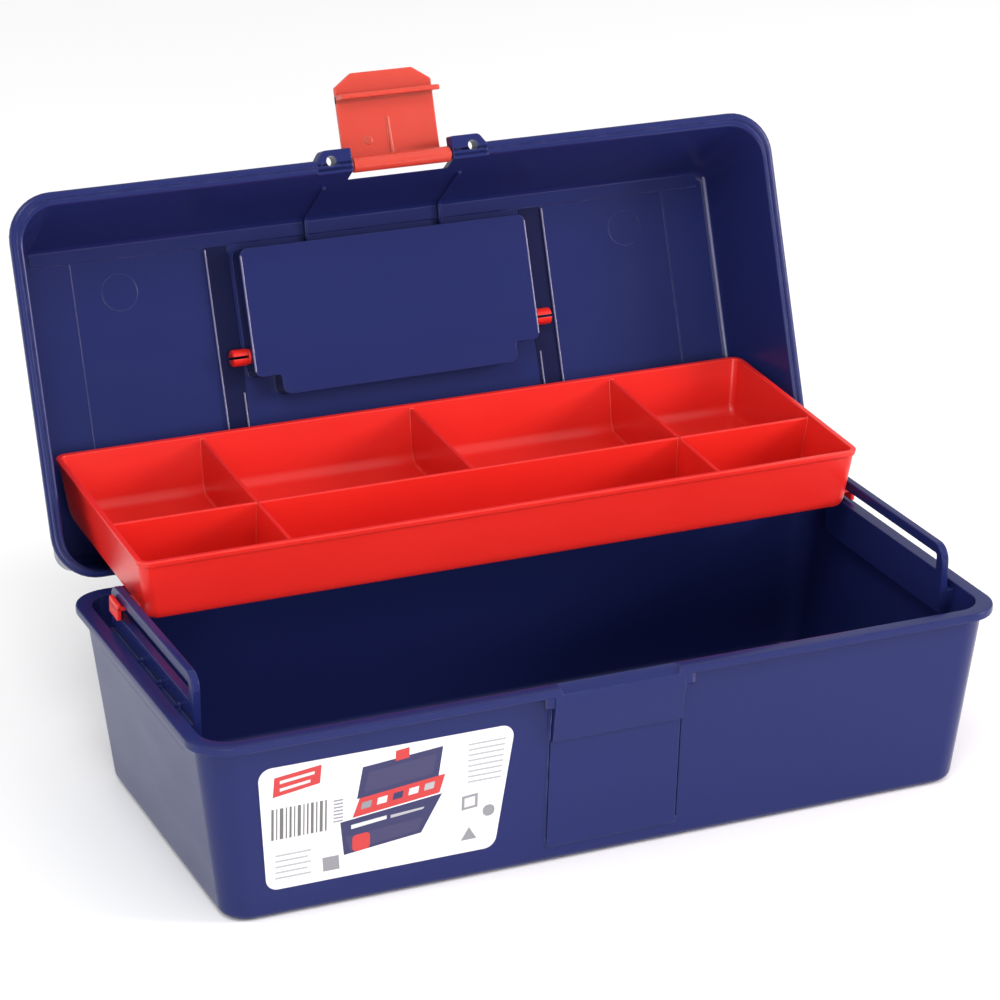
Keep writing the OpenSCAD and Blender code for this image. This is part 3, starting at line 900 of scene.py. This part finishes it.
def make_tray():
    hook_y0, hook_y1 = 10.3, 19.3
    tray = skin("tray_body", tray_rows())
    bound = skin("bound", tray_foot(TRAY_LIP, TRAY_LIP) + [tray_row(-1, TRAY_LIP)])
    walls = []
    for x, y0 in ((-DIVIDER_X, 0), (DIVIDER_X, 0), (0, DIVIDER_Y)):
        walls.append(divider(x, (y0 + TRAY_W) / 2, DIVIDER_T, TRAY_W - y0))
    walls.append(divider(0, DIVIDER_Y, 2 * TRAY_X, DIVIDER_T))
    for wall in walls:
        combine(wall, [copy_of(bound)], "INTERSECT")
    bpy.data.objects.remove(bound)
    hooks = []
    kinds = (("tongue", 139.4, -22.2, -20.8, 0.25), ("lip", 147.1, -26, -19.6, 0.5))
    for side in (-1, 1):
        for kind, near, z0, z1, edge in kinds:
            x0, x1 = sorted((side * near, side * 148.9))
            hooks.append(block(kind, (x0, hook_y0, z0), (x1, hook_y1, z1), edge))
    join(tray, walls + hooks)
    place = Matrix.Translation(TRAY_AT) @ Matrix.Rotation(TRAY_TILT, 4, "X")
    finish_piece(tray, RED, "tray", place, ("tray",))


# ------------------------------------------------------------------ label, on the front wall's own plane

FILM_T = 0.27
INK = {}
INK_COLOURS = (("red", (0.50, 0.03, 0.03)), ("navy", (0.02, 0.02, 0.09)), ("grey", (0.24, 0.24, 0.26)),
               ("black", (0.13, 0.13, 0.125)), ("pale", (0.38, 0.38, 0.40)), ("white", (0.6, 0.6, 0.6)),
               ("shade", (0.035, 0.03, 0.10)))
PICTURE_PARTS = ("grey", "white", "navy", "white", "pale")


def label_place():
    """From the label's plane (x right, y up the wall) to the front wall."""
    lean = atan2(SIDE_DRAFT, WALL_Z)
    return Matrix.Translation((0, -wall_at(0)[1], 0)) @ Matrix.Rotation(radians(90) + lean, 4, "X")


def patch(name, corners, colour, layer=1, r=0.0):
    """A printed patch. Each layer lies 0.02 mm over the one below."""
    outline = rounded([(x, y, r) for x, y in corners], 4) if r else list(corners)
    z0 = 0.25 + 0.02 * layer
    finish_piece(slab(name, outline, z0, z0 + 0.03), INK[colour], "tub", label_place())


def make_label():
    for name, colour in INK_COLOURS:
        INK[name] = printed_film("ink_" + name, colour, 0.32)
    corner_r = 4.5
    outline = [(-129.5, 11, corner_r), (-45, 11, corner_r), (-38.5, 58.5, corner_r), (-133, 58.5, corner_r)]
    film = slab("label_film", rounded(outline, 6), 0.0, FILM_T, 0.05)
    finish_piece(film, FILM, "tub", label_place(), ("label",))
    make_label_block()
    make_label_bars()
    make_label_lines()
    make_label_picture()
    make_label_symbols()


def make_label_block():
    """The red block at the label's top left, with two pale lines across it."""
    pitch = 2.9
    patch("label_block", [(-127.5, 47), (-110.5, 49.5), (-110, 56.5), (-127, 54.5)], "red")
    for k in range(2):
        y, right = pitch * k, -114 + 1.5 * k
        line = [(-125, 49 + y), (right, 50.5 + y), (right, 51.6 + y), (-125, 50.2 + y)]
        patch(f"label_block_line_{k}", line, "white", 2)


def make_label_bars():
    """Two groups of plain bars."""
    widths = (0.9, 0.45, 1.3, 0.5, 0.8, 0.45, 1.2, 0.45, 0.6, 1.0, 0.5, 1.1, 0.6)
    gap = 0.85
    x = -128.0
    for k, wide in enumerate(widths):
        patch(f"label_bar_{k}", rect(x, 30.5, x + wide, 42.5), "black")
        x += wide + gap
    for k in range(7):
        y = 33 + 1.35 * k
        patch(f"label_small_bar_{k}", rect(-105.5, y, -102, y + 0.6), "grey")


def make_label_lines():
    """Rows of thin lines where the label has small print."""
    thick = 0.7
    for k in range(5):
        y = 15 + 2.2 * k
        patch(f"label_note_{k}", rect(-126.5, y, -113.5 - 1.2 * (k % 2), y + thick), "pale")
    for k in range(8):
        y = 38.5 + 2.1 * k
        patch(f"label_text_{k}", rect(-56, y, -43.5 + 0.2 * k, y + thick), "pale")


def make_label_picture():
    """A small picture of an open box with a red tray."""
    patch("picture_lid", [(-97, 40.5), (-67, 43.5), (-65.5, 55), (-95, 52.5)], "navy")
    patch("picture_lid_shade", [(-94.5, 42.5), (-69, 45), (-67.8, 52.5), (-92.8, 50.2)], "shade", 2)
    patch("picture_latch", [(-83, 52.5), (-78, 53), (-78, 57), (-83, 56.5)], "red", 3)
    patch("picture_tray", [(-98.5, 33.5), (-66.5, 37), (-64.5, 44), (-96, 40.6)], "red", 3)
    for k, colour in enumerate(PICTURE_PARTS):
        x, y = -95.5 + 5.8 * k, 36.2 + 0.66 * k
        corners = [(x, y), (x + 3.6, y + 0.4), (x + 4.0, y + 3.0), (x + 0.4, y + 2.6)]
        patch(f"picture_part_{k}", corners, colour, 4)
    patch("picture_tub", [(-101.5, 19.5), (-73, 22.5), (-65.5, 36.5), (-103, 32.5)], "navy", 2)
    patch("picture_tub_shade", [(-99.5, 20.8), (-74, 23.7), (-72.5, 28.5), (-101, 26.5)], "shade", 3)
    patch("picture_handle", [(-99, 29.2), (-86, 30.6), (-86, 32), (-99, 30.8)], "white", 4)
    patch("picture_blade", [(-84.5, 30.6), (-72.5, 31.8), (-72, 32.6), (-84.5, 31.8)], "pale", 4)
    patch("picture_badge", [(-98.5, 20), (-92, 20.6), (-92, 27), (-98.5, 26.5)], "red", 5, 1.5)


def make_label_symbols():
    """Plain grey shapes at the label's right and foot."""
    patch("symbol_square", [(-58, 28), (-52, 28.5), (-52, 34), (-58, 33.5)], "grey")
    patch("symbol_square_inside", [(-57, 29), (-53, 29.4), (-53, 33), (-57, 32.6)], "white", 2)
    patch("symbol_circle", rect(-50, 24, -45.5, 28.5), "grey", 1, 2.0)
    patch("symbol_triangle", [(-58, 16), (-52, 16), (-55, 21)], "grey")
    patch("symbol_block", [(-109, 14.5), (-103, 14.5), (-103.4, 20), (-109.4, 20)], "grey")


# ------------------------------------------------------------------ hinge pins


def dress_pins():
    for side_name in ("left", "right"):
        pin = frame["nodes"]["hinge_pin_" + side_name]
        pin.data.materials.clear()
        pin.data.materials.append(STEEL)


# ------------------------------------------------------------------ stage, lights and camera, in metres


def make_floor():
    reach, below = 4, -0.0003
    material, *_, shader = new_material("floor_paper")
    shader.inputs["Base Color"].default_value = (0.95, 0.95, 0.95, 1)
    shader.inputs["Roughness"].default_value = 0.75
    corners = [(x, y, 0) for x, y in rect(-reach, -reach, reach, reach)]
    floor = mesh_object("floor", corners, [(0, 1, 2, 3)])
    floor.location.z = below
    floor.data.materials.append(material)


def area_light(name, at, towards, size, power, colour=(1, 1, 1)):
    data = bpy.data.lights.new(name, "AREA")
    data.shape = "RECTANGLE"
    data.size, data.size_y = size
    data.energy = power
    data.color = colour
    lamp = bpy.data.objects.new(name, data)
    lamp.location = at
    lamp.rotation_euler = (Vector(towards) - Vector(at)).to_track_quat("-Z", "Y").to_euler()
    bpy.context.scene.collection.objects.link(lamp)


def make_world():
    """A studio that is bright overhead and dark below."""
    world = bpy.data.worlds.new("studio")
    world.use_nodes = True
    nodes, links = world.node_tree.nodes, world.node_tree.links
    slope = nodes.new("ShaderNodeVectorMath")
    slope.operation = "DOT_PRODUCT"
    slope.inputs[1].default_value = (0, 0.1, 0.995)
    links.new(nodes.new("ShaderNodeTexCoord").outputs["Generated"], slope.inputs[0])
    tone = spread(nodes, links, slope.outputs["Value"], -0.3, 0.8, 0.04, 1.0)
    links.new(tone, nodes["Background"].inputs["Color"])
    nodes["Background"].inputs["Strength"].default_value = 0.95
    bpy.context.scene.world = world


def make_lights():
    bpy.context.scene.view_settings.view_transform = "Standard"
    make_world()
    middle = (0, 0, 0.08)
    area_light("key", (-0.5, -0.75, 1.5), middle, (0.6, 0.6), 8)
    area_light("fill", (1.3, -0.7, 0.62), middle, (0.5, 0.5), 18, (1.0, 0.88, 0.92))
    area_light("front", (-0.5, -1.8, 0.45), middle, (1.0, 0.6), 16)
    area_light("left_card", (-1.4, 0.3, 0.35), (-0.15, 0, 0.05), (0.9, 0.8), 5)


def make_camera():
    azimuth, elevation, roll = radians(-24.01), radians(21.9), radians(0.46)
    place = (-0.49265, -1.07351, 0.58437)
    forward = Vector((-sin(azimuth) * cos(elevation), cos(azimuth) * cos(elevation), -sin(elevation)))
    level = Vector((cos(azimuth), sin(azimuth), 0))
    upright = level.cross(forward)
    right = level * cos(roll) + upright * sin(roll)
    up = upright * cos(roll) - level * sin(roll)
    data = bpy.data.cameras.new("camera")
    data.lens, data.sensor_width = 127.66, 36
    camera = bpy.data.objects.new("camera", data)
    turn = Matrix((right, up, -forward)).transposed().to_4x4()
    camera.matrix_world = Matrix.Translation(place) @ turn
    bpy.context.scene.collection.objects.link(camera)
    bpy.context.scene.camera = camera


make_camera()
make_floor()
make_lights()
make_tub()
make_catch_fillets()
for side, name in SIDES:
    make_rail(side, name)
    make_tub_knuckles(side, name)
    make_lid_knuckle(side, name)
make_lid()
make_lid_ribs()
make_lid_highlight_beads()
make_latch()
make_handle()
make_tray()
make_label()
dress_pins()
